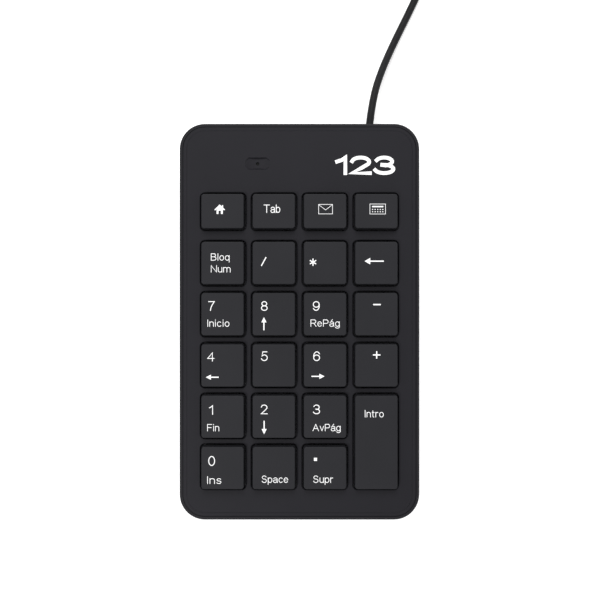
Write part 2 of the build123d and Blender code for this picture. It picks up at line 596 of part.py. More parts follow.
def usb_plug_shell():
    length, width, height = USB_SHELL
    base = PLUG_BOOT + PLUG_BODY[0]
    inside = RectangleRounded(width - 2 * USB_WALL, height - 2 * USB_WALL, 0.25)
    shell = Pos(0, 0, base) * extrude(RectangleRounded(width, height, 0.5) - inside, amount=length)
    for x in (-USB_HOLE_X, USB_HOLE_X):
        shell -= Pos(x, 0, base + USB_HOLE_AT) * Box(USB_HOLE[0], height + 1, USB_HOLE[1])
    return plug_place() * shell


def usb_plug_tongue():
    length, width = USB_SHELL[0] - TONGUE_SHORT, USB_SHELL[1] - 2 * TONGUE_FIT
    middle = PLUG_BOOT + PLUG_BODY[0] + length / 2
    return plug_place() * (Pos(0, -TONGUE_DOWN, middle) * Box(width, TONGUE, length))


def usb_plug_contacts():
    """Four strips on the tongue, the outer two longer."""
    base, on_tongue = PLUG_BOOT + PLUG_BODY[0] + 0.5, TONGUE / 2 - TONGUE_DOWN + CONTACT_THICK / 2
    strips = []
    for i, length in enumerate(CONTACTS):
        place = Pos((i - 1.5) * CONTACT_PITCH, on_tongue, base + length / 2)
        strips.append(plug_place() * (place * Box(CONTACT_WIDTH, CONTACT_THICK, length)))
    return strips


# ---- write every piece to its own file ----
def write(name, shape):
    if isinstance(shape, list):
        shape = Compound(shape)
    export_step(shape, f"parts/{name}.step")


def main():
    os.makedirs("parts", exist_ok=True)
    pieces = [
        top_cover, bottom_cover, case_screws, rubber_feet, rating_label,
        key_guide_plate, enter_stabilizer_bar, dome_sheet,
        upper_membrane, spacer_membrane, lower_membrane, backing_plate,
        controller_board, controller_chip, membrane_clamp_bar, clamp_screws, board_screws,
        numlock_led, led_light_pipe, cable_connector, inner_wires,
        cable_grommet, usb_cable, usb_cable_coil, usb_cable_end, cable_tie,
        usb_plug_overmold, usb_plug_shell, usb_plug_tongue, usb_plug_contacts,
    ]
    for piece in pieces:
        write(piece.__name__, piece())
    for name, cap in all_keys():
        write(name, cap)


main()
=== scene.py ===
"""Looks of the numeric keypad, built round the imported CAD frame. Metres, +Z up, +Y to the rear."""
import json
import math

import bmesh
import bpy
from mathutils import Matrix, Vector


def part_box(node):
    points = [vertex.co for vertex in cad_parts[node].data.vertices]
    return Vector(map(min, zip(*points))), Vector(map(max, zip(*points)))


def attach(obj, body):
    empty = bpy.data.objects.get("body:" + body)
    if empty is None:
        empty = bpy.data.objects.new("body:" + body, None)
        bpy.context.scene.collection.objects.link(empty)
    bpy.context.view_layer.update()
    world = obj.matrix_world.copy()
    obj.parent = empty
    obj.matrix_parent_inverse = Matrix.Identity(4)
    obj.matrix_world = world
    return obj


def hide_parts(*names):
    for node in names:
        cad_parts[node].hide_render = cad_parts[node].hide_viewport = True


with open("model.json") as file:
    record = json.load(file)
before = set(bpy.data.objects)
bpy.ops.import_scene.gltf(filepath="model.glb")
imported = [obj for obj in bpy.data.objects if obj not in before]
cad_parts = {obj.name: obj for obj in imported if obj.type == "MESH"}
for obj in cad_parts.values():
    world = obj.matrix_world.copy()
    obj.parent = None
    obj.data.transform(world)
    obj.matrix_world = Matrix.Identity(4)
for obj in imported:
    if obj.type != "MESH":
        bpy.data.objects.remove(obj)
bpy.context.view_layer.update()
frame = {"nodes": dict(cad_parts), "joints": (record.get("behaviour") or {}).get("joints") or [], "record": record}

MM = 0.001
NODES = frame["nodes"]
KEY_JOINTS = [j for j in frame["joints"] if j["type"] == "slide"]
KEYS = [j["child"] for j in KEY_JOINTS]
DECK_UP = Vector(KEY_JOINTS[0]["axis"]).normalized()        # the deck's normal
DECK_REAR = DECK_UP.cross(Vector((1, 0, 0)))                # up the deck's slope
KEY_STANDS = 2.8 * MM                                       # keycap tops above the deck
UP = Vector((0, 0, 1))


def span(name, direction):
    """Lowest and highest reach of a CAD node along a direction."""
    reach = [direction.dot(v.co) for v in NODES[name].data.vertices]
    return min(reach), max(reach)


KEY_TOP = span("key_5", DECK_UP)[1]                         # along the deck's normal
DECK_TOP = KEY_TOP - KEY_STANDS
DECK_ORIGIN = Vector((0, 0, DECK_TOP / DECK_UP.z))


def deck_matrix(x=0.0, y=0.0, z=0.0):
    """Frame whose X, Y lie in the deck and whose Z is the deck's normal, at a deck point in metres."""
    turn = Matrix((Vector((1, 0, 0)), DECK_REAR, DECK_UP)).transposed().to_4x4()
    return Matrix.Translation(DECK_ORIGIN) @ turn @ Matrix.Translation((x, y, z))


def key_centre(name):
    """Middle of a keycap in the deck's own X and Y."""
    low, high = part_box(name)
    rear = span(name, DECK_REAR)
    return (low.x + high.x) / 2, (rear[0] + rear[1]) / 2 - DECK_REAR.dot(DECK_ORIGIN)


# ---- camera ----
CAMERA_X, CAMERA_Y, CAMERA_ABOVE_KEYS = 0.2 * MM, 8.15 * MM, 0.320
LENS, SENSOR = 51.7, 36.0


def make_camera():
    """Looks straight down on the deck, a little to the rear of the housing's middle."""
    data = bpy.data.cameras.new("camera")
    data.sensor_width = SENSOR
    data.lens = LENS
    camera = bpy.data.objects.new("camera", data)
    camera.matrix_world = deck_matrix(CAMERA_X, CAMERA_Y, KEY_STANDS + CAMERA_ABOVE_KEYS)
    bpy.context.scene.collection.objects.link(camera)
    bpy.context.scene.camera = camera


# ---- cord ----
CORD_D, CORD_LENGTH = 0.0029, 1.25                          # the length includes the coil
CORD_OUT = [                                                # from the housing to the coil
    (0.02717, 0.07622, 0.00911),
    (0.02842, 0.08715, 0.00911),
    (0.0325, 0.1000, 0.0046),
    (0.0382, 0.1130, 0.0017),
    (0.0452, 0.1270, 0.0019),
    (0.0509, 0.1400, 0.0019),
    (0.0541, 0.1515, 0.0020),
]
CORD_END = [                                                # from the coil to the plug
    (0.0280, 0.1784, 0.0102),
    (0.0165, 0.1770, 0.0062),
    (0.0065, 0.1746, 0.00395),
    (0.0000, 0.1736, 0.00395),
]
COIL_LAYERS, COIL_TRACKS = 4, 3                             # layers, and tracks side by side in each
COIL_STEP = 15                                              # degrees between the cord's points
COIL_SECTOR = 35                                            # degrees a turn takes to change its place
COIL_RUN_OUT = 75                                           # degrees wound after the last full turn
COIL_CLEAR, LAYER_CLEAR = 0.1 * MM, 0.05 * MM


def coil_shifts():
    """(start angle, track, level) of each move of the cord; crossings have their own sectors."""
    shifts = []
    level, track, inwards, turn = 0, 0, True, 0
    crossing = 360 - COIL_SECTOR
    for layer in range(COIL_LAYERS):
        for _ in range(COIL_TRACKS - 1):
            track += 1 if inwards else -1
            shifts.append((turn * 360 + crossing, track, level))
            turn += 1
        if layer < COIL_LAYERS - 1:
            level += 1
            crossing -= COIL_SECTOR
            shifts.append((turn * 360 + crossing, track, level))
            crossing -= COIL_SECTOR
            inwards = not inwards
            if crossing + COIL_SECTOR <= 360:
                turn += 1
    return shifts


def coil_points():
    """Turns wound in layers: inwards, up, outwards, up and so on."""
    low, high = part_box("usb_cable_coil")
    middle = (low + high) / 2
    outer = (high.x - low.x) / 2 - CORD_D / 2 - COIL_CLEAR
    shifts = coil_shifts()
    end = 360 * math.ceil(shifts[-1][0] / 360) + COIL_RUN_OUT
    points = []
    for angle in range(0, end, COIL_STEP):
        track, level = 0.0, 0.0
        for start, to_track, to_level in shifts:
            share = min(max((angle - start) / COIL_SECTOR, 0), 1)
            share = share * share * (3 - 2 * share)
            track += (to_track - track) * share
            level += (to_level - level) * share
        radius = outer - track * CORD_D
        a = math.radians(angle)
        points.append((
            middle.x + radius * math.cos(a),
            middle.y + radius * math.sin(a),
            low.z + CORD_D / 2 + level * (CORD_D + LAYER_CLEAR),
        ))
    return points


def make_cord():
    """The whole lead as one curve: out of the housing, round the coil and on to its plug."""
    points = CORD_OUT + coil_points() + CORD_END
    data = bpy.data.curves.new("usb_lead", "CURVE")
    data.dimensions = "3D"
    spline = data.splines.new("NURBS")
    spline.points.add(len(points) - 1)
    for at, point in zip(spline.points, points):
        at.co = (*point, 1)
        at.radius = CORD_D / 2                              # the bevel's 1.0 is multiplied by this
    spline.order_u = 3
    spline.use_endpoint_u = True
    data.resolution_u = 4
    data.bevel_depth = 1.0
    data.bevel_resolution = 5
    cord = bpy.data.objects.new("usb_lead", data)
    bpy.context.scene.collection.objects.link(cord)
    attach(cord, "housing")
    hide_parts("usb_cable", "usb_cable_coil", "usb_cable_end")
    return cord


# ---- twist tie ----
TIE_ANGLE = 205                                             # round the coil, degrees
TIE_WIDTH, TIE_THICK, TIE_CORNER = 3.0 * MM, 0.36 * MM, 1.6 * MM
TIE_TAIL, TIE_TURNS = 12.0 * MM, 2.2                        # its twisted ends
TIE_SPLAY, TIE_SPREAD = 3.5 * MM, 0.6                       # their loose part, and how far it parts
TIE_PINCH = 0.78                                            # a twisted end's width, of the full one
TIE_FOOT_UP = 2.0 * MM                                      # where they start, above the coil's middle
TIE_CLEAR = 0.12 * MM
TIE_BAND = ((-0.5, 0.25), (-0.38, 0.3), (-0.16, 0.75), (0, 1.0),
            (0.16, 0.75), (0.38, 0.3), (0.5, 0.25))         # its section: across and height
TIE_UNDERSIDE = 0.3                                         # depth below the middle, of the height
COIL_MID_R = 16.0 * MM                                      # the bundle's middle, from the coil's axis
TIE_CORNER_STEPS = 6


def strip(bm, stations, closed=False):
    """Thin band with a wire's bulge down its middle: each station is (place, across, outwards)."""
    rings = []
    for place, across, out in stations:
        top = [place + across * TIE_WIDTH * a + out * TIE_THICK * h for a, h in TIE_BAND]
        low = [place + across * TIE_WIDTH * a - out * TIE_THICK * h * TIE_UNDERSIDE
               for a, h in TIE_BAND[::-1]]
        rings.append([bm.verts.new(v) for v in top + low])
    count = len(rings[0])
    for i in range(len(rings) if closed else len(rings) - 1):
        this, after = rings[i], rings[(i + 1) % len(rings)]
        for j in range(count):
            k = (j + 1) % count
            bm.faces.new((this[j], this[k], after[k], after[j]))
    if not closed:
        bm.faces.new(rings[0][::-1])
        bm.faces.new(rings[-1])


def tie_loop(middle, radial, tangent):
    """Stations round the bundle: four rounded corners joined by straight runs."""
    low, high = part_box("usb_cable_coil")
    half_w = (high.x - low.x) / 2 - COIL_MID_R + TIE_CLEAR - TIE_CORNER
    half_h = (high.z - low.z) / 2 + TIE_CLEAR - TIE_CORNER
    stations = []
    for corner in range(4):
        for step in range(TIE_CORNER_STEPS + 1):
            a = math.radians(90 * (corner + step / TIE_CORNER_STEPS))
            out = radial * math.cos(a) + UP * math.sin(a)
            side_x = half_w if corner in (0, 3) else -half_w
            side_z = half_h if corner in (0, 1) else -half_h
            place = middle + radial * side_x + UP * side_z + out * TIE_CORNER
            stations.append((place, tangent, out))
    return stations


def tie_tail(foot, radial, tangent, phase, steps=48):
    """Stations of one twisted end: it winds round the other and then bends away from it."""
    twisted = TIE_TAIL - TIE_SPLAY
    stations = []
    for i in range(steps + 1):
        along = TIE_TAIL * i / steps
        wound = min(along, twisted)
        a = phase + 2 * math.pi * TIE_TURNS * wound / twisted
        out = UP * math.cos(a) + tangent * math.sin(a)
        across = tangent * math.cos(a) - UP * math.sin(a)
        apart = TIE_CLEAR + (along - wound) ** 2 / TIE_SPLAY * TIE_SPREAD
        stations.append((foot + radial * along + out * apart, across * TIE_PINCH, out))
    return stations


def make_tie():
    """Plastic-covered wire round the coil, its two ends twisted together outside it."""
    low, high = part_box("usb_cable_coil")
    a = math.radians(TIE_ANGLE)
    radial = Vector((math.cos(a), math.sin(a), 0))
    tangent = UP.cross(radial)
    middle = (low + high) / 2 + radial * COIL_MID_R
    bm = bmesh.new()
    strip(bm, tie_loop(middle, radial, tangent), closed=True)
    foot = middle + radial * ((high.x - low.x) / 2 - COIL_MID_R + COIL_CLEAR) + UP * TIE_FOOT_UP
    for phase in (0, math.pi):
        strip(bm, tie_tail(foot, radial, tangent, phase))
    bmesh.ops.recalc_face_normals(bm, faces=bm.faces)
    data = bpy.data.meshes.new("twist_tie")
    bm.to_mesh(data)
    bm.free()
    for face in data.polygons:
        face.use_smooth = True
    tie = bpy.data.objects.new("twist_tie", data)
    bpy.context.scene.collection.objects.link(tie)
    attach(tie, "housing")
    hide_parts("cable_tie")
    return tie


# ---- materials ----
class Shader:
    """A material's node tree with short calls for the nodes used here."""

    def __init__(self, name):
        self.material = bpy.data.materials.new(name)
        self.material.use_nodes = True
        self.tree = self.material.node_tree
        self.bsdf = self.tree.nodes["Principled BSDF"]
        self.place = self.add("ShaderNodeTexCoord").outputs["Object"]

    def add(self, kind, **values):
        node = self.tree.nodes.new(kind)
        for name, value in values.items():
            setattr(node, name, value)
        return node

    def link(self, source, target):
        self.tree.links.new(source, target)

    def set(self, **values):
        for name, value in values.items():
            self.bsdf.inputs[name.replace("_", " ")].default_value = value

    def noise(self, scale, detail=3.0, roughness=0.5, stretch=None):
        node = self.add("ShaderNodeTexNoise")
        node.inputs["Scale"].default_value = scale
        node.inputs["Detail"].default_value = detail
        node.inputs["Roughness"].default_value = roughness
        place = self.place
        if stretch:
            mapping = self.add("ShaderNodeMapping")
            mapping.inputs["Scale"].default_value = stretch
            self.link(place, mapping.inputs["Vector"])
            place = mapping.outputs["Vector"]
        self.link(place, node.inputs["Vector"])
        return node.outputs["Fac"]

    def ramp(self, source, low, high, start=0.3, end=0.7):
        """Maps a 0..1 value between two colours (or two numbers)."""
        node = self.add("ShaderNodeValToRGB")
        for element, at, value in zip(node.color_ramp.elements, (start, end), (low, high)):
            element.position = at
            element.color = (*value, 1) if hasattr(value, "__len__") else (value, value, value, 1)
        self.link(source, node.inputs["Fac"])
        return node.outputs["Color"]

    def colour(self, socket):
        self.link(socket, self.bsdf.inputs["Base Color"])

    def roughness(self, socket):
        self.link(socket, self.bsdf.inputs["Roughness"])

    def bump(self, *layers):
        """Each layer is (height, depth in metres); they are stacked."""
        normal = None
        for height, depth in layers:
            node = self.add("ShaderNodeBump")
            node.inputs["Distance"].default_value = depth
            node.inputs["Strength"].default_value = 1.0
            self.link(height, node.inputs["Height"])
            if normal:
                self.link(normal, node.inputs["Normal"])
            normal = node.outputs["Normal"]
        self.link(normal, self.bsdf.inputs["Normal"])


def shade(colour, by):
    """The colour made lighter or darker."""
    return tuple(min(1.0, c * by) for c in colour)


def moulded(name, colour, rough, grain=6000, depth=0.012 * MM, spread=0.05, level=0.17):
    """Matte moulded plastic: spark-eroded grain, faint flow in the gloss and tint."""
    s = Shader(name)
    flow = s.noise(60, 2)
    s.colour(s.ramp(flow, shade(colour, 1 - spread), shade(colour, 1 + spread)))
    pores = s.noise(grain, 4, 0.6)
    s.roughness(s.ramp(s.noise(240, 3), rough - 0.02, rough + 0.03))
    s.bump((pores, depth), (s.noise(grain / 5, 2), depth * 1.5))
    s.set(Specular_IOR_Level=level)
    return s.material


def rubbery(name, colour, rough=0.62, grain=5200):
    """Soft rubber: a fine grain over a slow ripple."""
    s = Shader(name)
    s.colour(s.ramp(s.noise(220, 4), shade(colour, 0.85), shade(colour, 1.2)))
    s.roughness(s.ramp(s.noise(900, 3), rough - 0.08, rough + 0.08))
    s.bump((s.noise(grain, 3), 0.006 * MM), (s.noise(700, 2), 0.012 * MM))
    s.set(Specular_IOR_Level=0.14)
    return s.material


def metal(name, colour, rough, stretch=(1, 1, 1), scale=3000):
    """Metal with fine drawn or rolled lines along the unstretched direction."""
    s = Shader(name)
    lines = s.noise(scale, 4, 0.6, stretch)
    s.colour(s.ramp(s.noise(300, 3), shade(colour, 0.9), shade(colour, 1.05)))
    s.roughness(s.ramp(lines, rough - 0.08, rough + 0.12))
    s.bump((lines, 0.003 * MM))
    s.set(Metallic=1.0)
    return s.material


def ink(name, colour):
    """Matte printed ink: slightly uneven, with a dry grain."""
    s = Shader(name)
    s.colour(s.ramp(s.noise(1500, 3), shade(colour, 0.94), colour))
    s.roughness(s.ramp(s.noise(3000, 2), 0.5, 0.7))
    s.bump((s.noise(9000, 3), 0.003 * MM))
    s.set(Specular_IOR_Level=0.3)
    return s.material


def clear(name, colour, rough=0.15):
    """Thin clear film with a faint haze."""
    s = Shader(name)
    s.colour(s.ramp(s.noise(400, 2), shade(colour, 0.95), colour))
    s.roughness(s.ramp(s.noise(900, 2), rough, rough + 0.1))
    s.bump((s.noise(1200, 2), 0.002 * MM))
    s.set(Transmission_Weight=0.8, IOR=1.49)
    return s.material


def make_materials():
    """One finish for each slot of the record."""
    return {
        "keycap_plastic": moulded("keycap_plastic", (0.0138, 0.0138, 0.0165), 0.50),
        "deck_plastic": moulded("deck_plastic", (0.0094, 0.0090, 0.0121), 0.50, 4800, 0.015 * MM),
        "shell_plastic": moulded("shell_plastic", (0.0100, 0.0096, 0.0122), 0.48, 3600, 0.022 * MM),
        "guide_plastic": moulded("guide_plastic", (0.03, 0.03, 0.033), 0.45),
        "chip_plastic": moulded("chip_plastic", (0.02, 0.02, 0.02), 0.6),
        "connector_plastic": moulded("connector_plastic", (0.75, 0.72, 0.62), 0.4),
        "plug_plastic": moulded("plug_plastic", (0.016, 0.016, 0.018), 0.45, 4200, 0.012 * MM),
        "tongue_plastic": moulded("tongue_plastic", (0.78, 0.78, 0.75), 0.4),
        "tie_plastic": moulded("tie_plastic", (0.02, 0.02, 0.02), 0.4),
        "label_film": moulded("label_film", (0.55, 0.55, 0.57), 0.35, 2400, 0.002 * MM, 0.04, 0.5),
        "foot_rubber": rubbery("foot_rubber", (0.03, 0.03, 0.031)),
        "cable_jacket": rubbery("cable_jacket", (0.0095, 0.0095, 0.0105), 0.55),
        "cable_rubber": rubbery("cable_rubber", (0.0095, 0.0095, 0.0105), 0.55),
        "wire_jacket": rubbery("wire_jacket", (0.4, 0.05, 0.04), 0.4),
        "dome_rubber": rubbery("dome_rubber", (0.6, 0.62, 0.65), 0.45),
        "circuit_film": clear("circuit_film", (0.8, 0.84, 0.88)),
        "led_lens": moulded("led_lens", (0.0015, 0.002, 0.0015), 0.5),
        "circuit_board": moulded("circuit_board", (0.03, 0.16, 0.05), 0.3, 1800, 0.003 * MM, 0.1, 0.5),
        "plate_steel": metal("plate_steel", (0.5, 0.5, 0.51), 0.35, (0.05, 1, 1)),
        "screw_steel": metal("screw_steel", (0.55, 0.54, 0.52), 0.32),
        "wire_steel": metal("wire_steel", (0.5, 0.5, 0.5), 0.3, (1, 0.05, 1)),
        "plug_steel": metal("plug_steel", (0.72, 0.71, 0.69), 0.22, (0.05, 1, 1)),
        "contact_gold": metal("contact_gold", (0.86, 0.62, 0.26), 0.2, (0.05, 1, 1)),
    }


def paint(obj, material):
    obj.data.materials.clear()
    obj.data.materials.append(material)


def paint_frame(materials):
    """Every CAD node takes the finish of its slot in the record."""
    slots = {part["node"]: part["material_slot"] for part in frame["record"]["subparts"]}
    for name, obj in NODES.items():
        for i in range(max(1, len(obj.material_slots))):
            if not obj.material_slots:
                obj.data.materials.append(None)
            obj.material_slots[i].material = materials[slots[name]]


# ---- printed legends ----
# Letters are strokes of one width. Each glyph has its width and its strokes, in units of the
# capitals' height: a stroke is a list of points, of which line() and arc() give the parts.
def arc(x, y, rx, ry, start, end, steps=14):
    """Points round an ellipse's centre, from one angle to another in degrees."""
    turns = [math.radians(start + (end - start) * i / steps) for i in range(steps + 1)]
    return [(x + rx * math.cos(a), y + ry * math.sin(a)) for a in turns]


def line(*points):
    return list(points)


ROUND = 0.355                                               # half height of a small round letter
BOWL = (0.24, ROUND, 0.24, ROUND)                           # centre and radii of o and its kin
GLYPHS = {
    "0": (0.56, [arc(0.28, 0.5, 0.28, 0.5, 0, 360, 28)]),
    "1": (0.26, [line((0, 0.74), (0.15, 0.84), (0.26, 1.0), (0.26, 0))]),
    "2": (0.56, [arc(0.28, 0.72, 0.27, 0.28, 170, -28) + line((0.3, 0.32), (0, 0), (0.57, 0))]),
    "3": (0.56, [arc(0.26, 0.745, 0.25, 0.255, 160, -80) + line((0.2, 0.53)),
                 line((0.2, 0.53)) + arc(0.26, 0.265, 0.29, 0.265, 80, -165)]),
    "4": (0.6, [line((0.46, 0), (0.46, 1.0), (0, 0.31), (0.62, 0.31))]),
    "5": (0.56, [line((0.52, 1.0), (0.13, 1.0), (0.04, 0.5)) +
                 arc(0.27, 0.325, 0.29, 0.325, 135, -160, 18)]),
    "6": (0.56, [arc(0.28, 0.32, 0.28, 0.32, 0, 360, 24),
                 arc(0.3, 0.5, 0.3, 0.5, 195, 35, 14)]),
    "7": (0.56, [line((0, 1.0), (0.56, 1.0), (0.34, 0.62), (0.22, 0.3), (0.17, 0))]),
    "8": (0.56, [arc(0.28, 0.76, 0.235, 0.24, 0, 360, 24), arc(0.28, 0.26, 0.28, 0.26, 0, 360, 24)]),
    "9": (0.56, [arc(0.28, 0.68, 0.28, 0.32, 0, 360, 24),
                 arc(0.26, 0.5, 0.3, 0.5, 15, -145, 14)]),
    "T": (0.7, [line((0, 1.0), (0.7, 1.0)), line((0.35, 1.0), (0.35, 0))]),
    "B": (0.6, [line((0, 0), (0, 1.0), (0.34, 1.0)) + arc(0.34, 0.765, 0.2, 0.235, 90, -90, 10) +
                line((0, 0.53)), line((0.3, 0.53), (0.36, 0.53)) +
                arc(0.36, 0.265, 0.235, 0.265, 90, -90, 10) + line((0, 0))]),
    "N": (0.64, [line((0, 0), (0, 1.0), (0.64, 0), (0.64, 1.0))]),
    "I": (0.06, [line((0.03, 0), (0.03, 1.0))]),
    "R": (0.64, [line((0, 0), (0, 1.0), (0.38, 1.0)) + arc(0.38, 0.74, 0.22, 0.26, 90, -90, 10) +
                 line((0, 0.48)), line((0.36, 0.48), (0.64, 0))]),
    "P": (0.58, [line((0, 0), (0, 1.0), (0.36, 1.0)) + arc(0.36, 0.725, 0.22, 0.275, 90, -90, 10) +
                 line((0, 0.45))]),
    "F": (0.54, [line((0, 0), (0, 1.0), (0.54, 1.0)), line((0, 0.52), (0.47, 0.52))]),
    "A": (0.74, [line((0, 0), (0.37, 1.0), (0.74, 0)), line((0.14, 0.35), (0.6, 0.35))]),
    "S": (0.6, [arc(0.3, 0.745, 0.25, 0.255, 20, 200) + arc(0.3, 0.765, 0.26, 0.25, 200, 262, 5) +
                arc(0.3, 0.265, 0.275, 0.265, 75, -168, 18)]),
    "a": (0.5, [arc(0.25, 0.5, 0.22, 0.21, 165, 0, 10) + line((0.47, 0.14), (0.52, 0)),
                arc(0.22, 0.19, 0.225, 0.2, 60, 330, 14) + line((0.47, 0.2)),
                line((0.3, 0.39), (0.47, 0.42))]),
    "b": (0.5, [line((0, 1.0), (0, 0)), arc(*BOWL, 0, 360, 22)]),
    "c": (0.45, [arc(*BOWL, 42, 318, 18)]),
    "e": (0.5, [line((0.02, 0.38), (0.48, 0.38)) + arc(*BOWL, 4, 325, 20)]),
    "g": (0.48, [arc(*BOWL, 0, 360, 22),
                 line((0.48, 0.71), (0.48, -0.05)) + arc(0.24, -0.05, 0.24, 0.23, 0, -160, 12)]),
    "i": (0.06, [line((0.03, 0), (0.03, 0.71)), line((0.03, 0.94), (0.03, 1.0))]),
    "l": (0.06, [line((0.03, 0), (0.03, 1.0))]),
    "m": (0.8, [line((0, 0), (0, 0.71)), arc(0.2, 0.48, 0.2, 0.23, 150, 0, 10) + line((0.4, 0)),
                arc(0.6, 0.48, 0.2, 0.23, 165, 0, 10) + line((0.8, 0))]),
    "n": (0.44, [line((0, 0), (0, 0.71)), arc(0.22, 0.47, 0.22, 0.24, 150, 0, 10) + line((0.44, 0))]),
    "o": (0.48, [arc(*BOWL, 0, 360, 22)]),
    "p": (0.48, [line((0, 0.71), (0, -0.28)), arc(*BOWL, 0, 360, 22)]),
    "q": (0.48, [line((0.48, 0.71), (0.48, -0.28)), arc(*BOWL, 0, 360, 22)]),
    "r": (0.28, [line((0, 0), (0, 0.71)), arc(0.22, 0.46, 0.22, 0.24, 165, 75, 6)]),
    "s": (0.43, [arc(0.22, 0.53, 0.18, 0.175, 25, 250, 12) +
                 arc(0.215, 0.185, 0.2, 0.185, 72, -160, 12)]),
    "t": (0.26, [line((0.1, 0.93), (0.1, 0.14)) + arc(0.2, 0.12, 0.1, 0.12, 190, 285, 6),
                 line((0, 0.69), (0.26, 0.69))]),
    "u": (0.44, [line((0, 0.71)) + arc(0.22, 0.24, 0.22, 0.24, 180, 330, 10),
                 line((0.44, 0.71), (0.44, 0))]),
    "v": (0.46, [line((0, 0.71), (0.23, 0), (0.46, 0.71))]),
}
ACCENTED = {"á": "a"}
ACCENT = line((0.2, 0.84), (0.33, 1.03))
LETTER_GAP, INK_WIDTH = 0.2, 0.086                          # of the capitals' height
DIGIT, WORD = 3.55, 2.65                                    # capitals' height of most digits and words
MITRE_LIMIT = 0.5                                           # a sharp bend's corner reaches twice as far

# Text, left edge, baseline, capitals' height and the line's width, in millimetres from the
# key's middle.
LEGENDS = {
    "key_tab": [("Tab", -3.76, -0.68, 3.05, 6.2)],
    "key_num_lock": [("Bloq", -4.32, 0.9, WORD, 6.9), ("Num", -4.32, -3.5, WORD, 7.3)],
    "key_7": [("7", -5.28, 1.3, DIGIT, 2.4), ("Inicio", -5.69, -4.63, WORD, 8.25)],
    "key_8": [("8", -4.76, 1.3, DIGIT, 2.45)],
    "key_9": [("9", -4.54, 1.3, DIGIT, 2.5), ("RePág", -5.4, -4.6, WORD, 10.8)],
    "key_4": [("4", -5.65, 1.55, 3.35, 2.56)],
    "key_5": [("5", -4.72, 1.7, DIGIT, 2.45)],
    "key_6": [("6", -4.39, 1.7, DIGIT, 2.49)],
    "key_1": [("1", -4.99, 0.8, DIGIT, 1.45), ("Fin", -5.69, -5.35, WORD, 4.45)],
    "key_2": [("2", -4.84, 1.0, DIGIT, 2.5)],
    "key_3": [("3", -4.39, 1.0, DIGIT, 2.55), ("AvPág", -4.65, -5.3, WORD, 10.4)],
    "key_enter": [("Intro", -4.39, 9.35, 2.7, 7.1)],
    "key_0": [("0", -5.28, 0.85, 3.65, 2.5), ("Ins", -5.8, -5.85, 2.85, 5.4)],
    "key_space": [("Space", -4.54, -5.45, 2.7, 9.9)],
    "key_decimal": [("Supr", -4.46, -5.45, 2.7, 7.45)],
}


def ribbon(points, width):
    """Outline of one stroke as quads, with mitred joints."""
    points = [Vector(p) for p in points]
    closed = (points[0] - points[-1]).length < 1e-6
    if closed:
        points = points[:-1]
    else:                                                   # open strokes run on past their ends
        points[0] += (points[0] - points[1]).normalized() * width / 2
        points[-1] += (points[-1] - points[-2]).normalized() * width / 2
    sides = []
    for i, point in enumerate(points):
        before = points[i - 1] if i or closed else None
        after = points[(i + 1) % len(points)] if i < len(points) - 1 or closed else None
        into = (point - before).normalized() if before else None
        out = (after - point).normalized() if after else None
        along = (into + out).normalized() if into and out else (into or out)
        side = Vector((-along.y, along.x))
        across = max(MITRE_LIMIT, side.dot(Vector((-(into or out).y, (into or out).x))))
        sides.append((point - side * width / 2 / across, point + side * width / 2 / across))
    count = len(points) if closed else len(points) - 1
    quads = []
    for i in range(count):
        (a, b), (c, d) = sides[i], sides[(i + 1) % len(sides)]
        quads.append([tuple(a), tuple(c), tuple(d), tuple(b)])
    return quads


def text_shapes(body, left, base, height, width, ink=INK_WIDTH):
    """Quads of a line of letters that fills this width."""
    letters, at = [], 0.0
    for letter in body:
        span_of, strokes = GLYPHS[ACCENTED.get(letter, letter)]
        letters.append((at, strokes))
        if letter in ACCENTED:
            letters.append((at, [ACCENT]))
        at += span_of + LETTER_GAP
    natural = at - LETTER_GAP
    stretch = (width / height - ink) / natural
    quads = []
    for start, strokes in letters:
        for stroke in strokes:
            placed = [((start + x) * stretch + ink / 2, y * (1 - ink) + ink / 2) for x, y in stroke]
            for quad in ribbon(placed, ink):
                quads.append([(left + x * height, base + y * height) for x, y in quad])
    return quads


def bar(x0, y0, x1, y1, width):
    """Outline of a straight stroke that ends at its two points."""
    tail, tip = Vector((x0, y0)), Vector((x1, y1))
    inwards = (tip - tail).normalized() * width / 2
    return ribbon([tail + inwards, tip - inwards], width)[0]


def arrow(tail, tip, width=0.42, head=1.9, spread=1.9):
    """Stroke with a solid head."""
    tail, tip = Vector(tail), Vector(tip)
    along = (tip - tail).normalized()
    side = Vector((-along.y, along.x))
    neck = tip - along * head
    shaft = bar(*tail, *neck, width)
    point = [neck - side * spread / 2, tip, neck + side * spread / 2]
    return [shaft, [tuple(corner) for corner in point]]


def rectangle(x0, y0, x1, y1):
    return [(x0, y0), (x1, y0), (x1, y1), (x0, y1)]


def frame_outline(x0, y0, x1, y1, width):
    """Four strokes round a rectangle, meeting at mitred corners."""
    outer = rectangle(x0, y0, x1, y1)
    inner = rectangle(x0 + width, y0 + width, x1 - width, y1 - width)
    return [[outer[i], outer[(i + 1) % 4], inner[(i + 1) % 4], inner[i]] for i in range(4)]


ICON_LINE = 0.17


def home_icon():
    """A gable roof over a wall with its door open, and a chimney."""
    roof = ribbon([(-2.72, 0.5), (-1.05, 2.15), (0.62, 0.5)], 0.42)
    walls = [(-2.2, 0.8), (-1.05, 2.0), (0.1, 0.8), (0.1, -1.1), (-0.6, -1.1), (-0.6, 0.15),
             (-1.5, 0.15), (-1.5, -1.1), (-2.2, -1.1)]
    chimney = [(-0.2, 1.0), (0.22, 0.6), (0.22, 2.15), (-0.2, 2.15)]
    return roof + [walls, chimney]


def mail_icon():
    """An envelope with its flap."""
    flap = ribbon([(-2.3, 2.3), (0.17, 0.4), (2.64, 2.3)], ICON_LINE)
    return frame_outline(-2.49, -1.15, 2.83, 2.53, ICON_LINE) + flap


